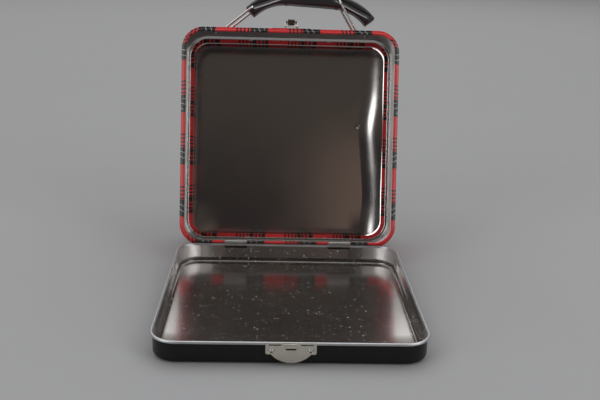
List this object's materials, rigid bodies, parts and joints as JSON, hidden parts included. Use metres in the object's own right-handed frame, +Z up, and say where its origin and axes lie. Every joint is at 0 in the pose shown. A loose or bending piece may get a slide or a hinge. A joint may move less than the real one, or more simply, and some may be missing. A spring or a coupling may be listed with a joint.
{
  "type": "metal lunch box",
  "caption": "Square tinplate lunch box standing open, with a shallow hinged lid, a swinging hasp latch and a slotted grip on wire links.",
  "frame": {"origin": "middle of the lid's outer panel, on the surface that the open box stands on", "axes": "+X to the user's right along the hinge, +Y away from the user from the lid to the case, +Z up"},
  "size_m": [0.18, 0.287, 0.2163],
  "materials": {
    "lid_tin": "black lacquer outside, bare tinplate inside",
    "band_print": "printed gloss lacquer",
    "back_tin": "black lacquer outside, bare tinplate inside",
    "hinge_zinc": "dull zinc plate",
    "latch_nickel": "warm nickel plate",
    "rivet_steel": "bright steel",
    "wire_steel": "bright wire",
    "grip_plastic": "moulded black plastic"
  },
  "bodies": {
    "lid": {"lid_pan": "lid_tin", "latch_catch_plate": "latch_nickel", "catch_rivets": "rivet_steel"},
    "case": {"case_band": "band_print", "back_pan": "back_tin", "left_hinge_strap": "hinge_zinc", "right_hinge_strap": "hinge_zinc", "latch_base_plate": "latch_nickel", "base_rivets": "rivet_steel", "hasp_pin": "rivet_steel", "left_handle_bracket": "hinge_zinc", "right_handle_bracket": "hinge_zinc", "bracket_rivets": "rivet_steel"},
    "hasp": {"latch_hasp": "latch_nickel"},
    "left_link": {"left_wire_link": "wire_steel"},
    "right_link": {"right_wire_link": "wire_steel"},
    "grip": {"handle_grip": "grip_plastic"}
  },
  "joints": [
    {"name": "lid_hinge", "type": "hinge", "parent": "lid", "child": "case", "pos_m": [0, 0.089, 0.015], "axis": [1, 0, 0], "range_deg": [0, 104.51]},
    {"name": "hasp_swing", "type": "hinge", "parent": "case", "child": "hasp", "pos_m": [0, 0.13903, 0.18917], "axis": [1, 0, 0], "range_deg": [0, 140]},
    {"name": "left_link_swing", "type": "hinge", "parent": "case", "child": "left_link", "pos_m": [-0.055, 0.15869, 0.18354], "axis": [0, -0.9681, 0.2506], "range_deg": [0, 30.8]},
    {"name": "grip_turn", "type": "hinge", "parent": "left_link", "child": "grip", "pos_m": [-0.03229, 0.16334, 0.20147], "axis": [0, -0.9681, 0.2506], "range_deg": [-27.51, 0]},
    {"name": "right_link_swing", "type": "hinge", "parent": "case", "child": "right_link", "pos_m": [0.055, 0.15869, 0.18354], "axis": [0, -0.9681, 0.2506], "range_deg": [-19.53, 0]}
  ],
  "couplings": [
    {"joint": "grip_turn", "follows": "left_link_swing", "ratio": -0.89286},
    {"joint": "right_link_swing", "follows": "left_link_swing", "ratio": -0.63391}
  ]
}
